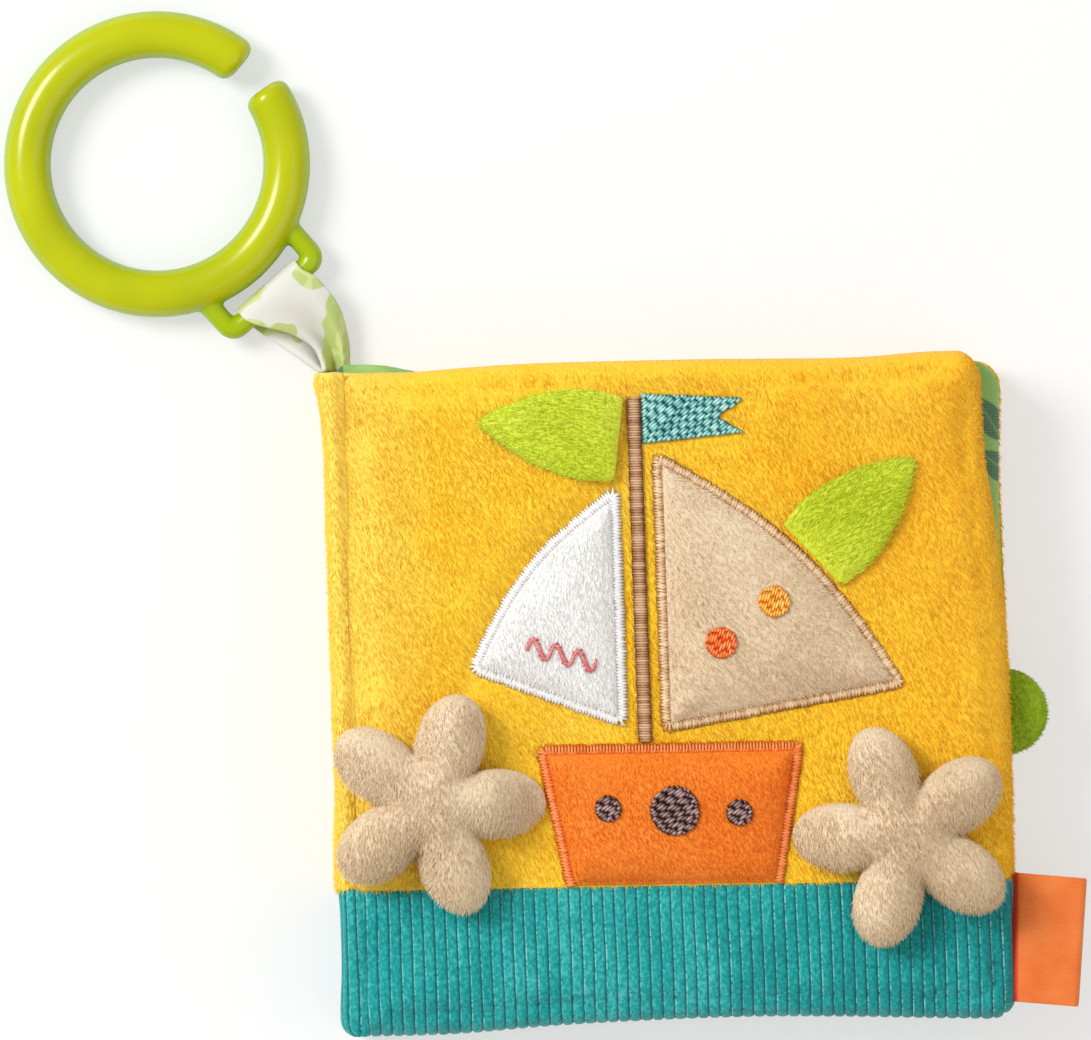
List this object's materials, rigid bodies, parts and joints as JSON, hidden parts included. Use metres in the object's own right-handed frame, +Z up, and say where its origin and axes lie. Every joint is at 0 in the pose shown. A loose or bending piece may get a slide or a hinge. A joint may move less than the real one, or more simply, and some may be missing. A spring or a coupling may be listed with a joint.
{
  "type": "crinkle cloth book",
  "caption": "Padded cloth book for a baby with plush covers, printed pages, a sewn sailing boat, stuffed starfish, a label and a clip ring on a ribbon.",
  "frame": {"origin": "middle of the back cover's resting face, with the book closed and lying on it", "axes": "+X from the spine to the free edge, +Y to the top edge where the ring hangs, +Z up through the pages to the front cover"},
  "size_m": [0.205, 0.2026, 0.0363],
  "materials": {
    "yellow_plush": "short dense plush pile",
    "teal_corduroy": "ribbed corduroy",
    "beige_plush": "short dense plush pile",
    "white_plush": "short dense plush pile",
    "orange_plush": "short dense plush pile",
    "lime_plush": "short dense plush pile",
    "green_print_cotton": "printed cotton",
    "lime_print_cotton": "printed cotton",
    "wadding": "polyester wadding",
    "crinkle_foil": "thin crackling film",
    "brown_thread": "embroidery thread",
    "tan_thread": "embroidery thread",
    "teal_thread": "embroidery thread",
    "orange_thread": "embroidery thread",
    "yellow_thread": "embroidery thread",
    "coral_thread": "embroidery thread",
    "white_thread": "embroidery thread",
    "orange_tape": "woven tape",
    "printed_satin": "satin ribbon",
    "lime_plastic": "smooth gloss"
  },
  "bodies": {
    "back_cover": {"back_cover_plush": "yellow_plush", "back_cover_corduroy": "teal_corduroy", "back_cover_lining": "green_print_cotton", "back_cover_crinkle_foil": "crinkle_foil", "back_cover_wadding": "wadding"},
    "spine": {"spine_plush": "yellow_plush", "spine_corduroy": "teal_corduroy", "spine_lining": "green_print_cotton"},
    "front_cover": {"front_cover_plush": "yellow_plush", "front_cover_corduroy": "teal_corduroy", "front_cover_lining": "green_print_cotton", "front_cover_crinkle_foil": "crinkle_foil", "front_cover_wadding": "wadding", "spine_topstitch": "yellow_thread", "hull": "orange_plush", "hull_border": "orange_thread", "mainsail": "beige_plush", "mainsail_border": "tan_thread", "jib": "white_plush", "jib_border": "white_thread", "mast": "tan_thread", "pennant": "teal_thread", "bow_porthole": "brown_thread", "middle_porthole": "brown_thread", "stern_porthole": "brown_thread", "orange_spot": "orange_thread", "yellow_spot": "yellow_thread", "stitched_wave": "coral_thread"},
    "page_1": {"page_1_front": "green_print_cotton", "page_1_back": "lime_print_cotton", "page_1_crinkle_foil": "crinkle_foil", "page_1_wadding": "wadding", "page_1_seam_strip": "green_print_cotton", "page_tab": "lime_plush"},
    "page_2": {"page_2_front": "green_print_cotton", "page_2_back": "lime_print_cotton", "page_2_crinkle_foil": "crinkle_foil", "page_2_wadding": "wadding", "page_2_seam_strip": "green_print_cotton"},
    "left_starfish": {"left_starfish_front": "beige_plush", "left_starfish_back": "beige_plush", "left_starfish_filling": "wadding"},
    "right_starfish": {"right_starfish_front": "beige_plush", "right_starfish_back": "beige_plush", "right_starfish_filling": "wadding"},
    "mast_flap": {"mast_flap": "lime_plush"},
    "leech_flap": {"leech_flap": "lime_plush"},
    "label": {"woven_label": "orange_tape"},
    "ribbon": {"ribbon_loop": "printed_satin"},
    "ring": {"clip_ring": "lime_plastic"}
  },
  "joints": [
    {"name": "spine_fold", "type": "hinge", "parent": "back_cover", "child": "spine", "pos_m": [-0.065, 0, 0], "axis": [0, -1, 0], "range_deg": [0, 60]},
    {"name": "front_cover_fold", "type": "hinge", "parent": "spine", "child": "front_cover", "pos_m": [-0.065, 0, 0.0245], "axis": [0, -1, 0], "range_deg": [0, 120]},
    {"name": "page_1_turn", "type": "hinge", "parent": "spine", "child": "page_1", "pos_m": [-0.0604, 0, 0.015], "axis": [0, -1, 0], "range_deg": [0, 60]},
    {"name": "page_2_turn", "type": "hinge", "parent": "spine", "child": "page_2", "pos_m": [-0.0604, 0, 0.0095], "axis": [0, -1, 0], "range_deg": [-15, 0]},
    {"name": "left_starfish_lift", "type": "hinge", "parent": "front_cover", "child": "left_starfish", "pos_m": [-0.02353, -0.0194, 0.0258], "axis": [0, 1, 0], "range_deg": [0, 110]},
    {"name": "right_starfish_lift", "type": "hinge", "parent": "front_cover", "child": "right_starfish", "pos_m": [0.02394, -0.02801, 0.0258], "axis": [0, -1, 0], "range_deg": [0, 110]},
    {"name": "mast_flap_lift", "type": "hinge", "parent": "front_cover", "child": "mast_flap", "pos_m": [-0.00694, 0.05025, 0.0263], "axis": [0.1392, 0.9903, 0], "range_deg": [0, 95]},
    {"name": "leech_flap_lift", "type": "hinge", "parent": "front_cover", "child": "leech_flap", "pos_m": [0.02974, 0.02633, 0.0263], "axis": [0.6691, -0.7431, 0], "range_deg": [0, 95]},
    {"name": "label_flex", "type": "hinge", "parent": "front_cover", "child": "label", "pos_m": [0.0657, -0.04971, 0.02125], "axis": [0, -1, 0], "range_deg": [-45, 80], "stiffness_Nm_per_rad": 0.0002},
    {"name": "ribbon_swing", "type": "hinge", "parent": "back_cover", "child": "ribbon", "pos_m": [-0.06225, 0.0657, 0.00325], "axis": [0.7683, 0.6401, 0], "range_deg": [-65, 45]},
    {"name": "ring_swing", "type": "hinge", "parent": "ribbon", "child": "ring", "pos_m": [-0.07328, 0.08087, 0.0046], "axis": [0.7683, 0.6401, 0], "range_deg": [-100, 60]}
  ],
  "couplings": [
    {"joint": "page_1_turn", "follows": "front_cover_fold", "ratio": 0.5},
    {"joint": "page_2_turn", "follows": "spine_fold", "ratio": -0.25}
  ]
}
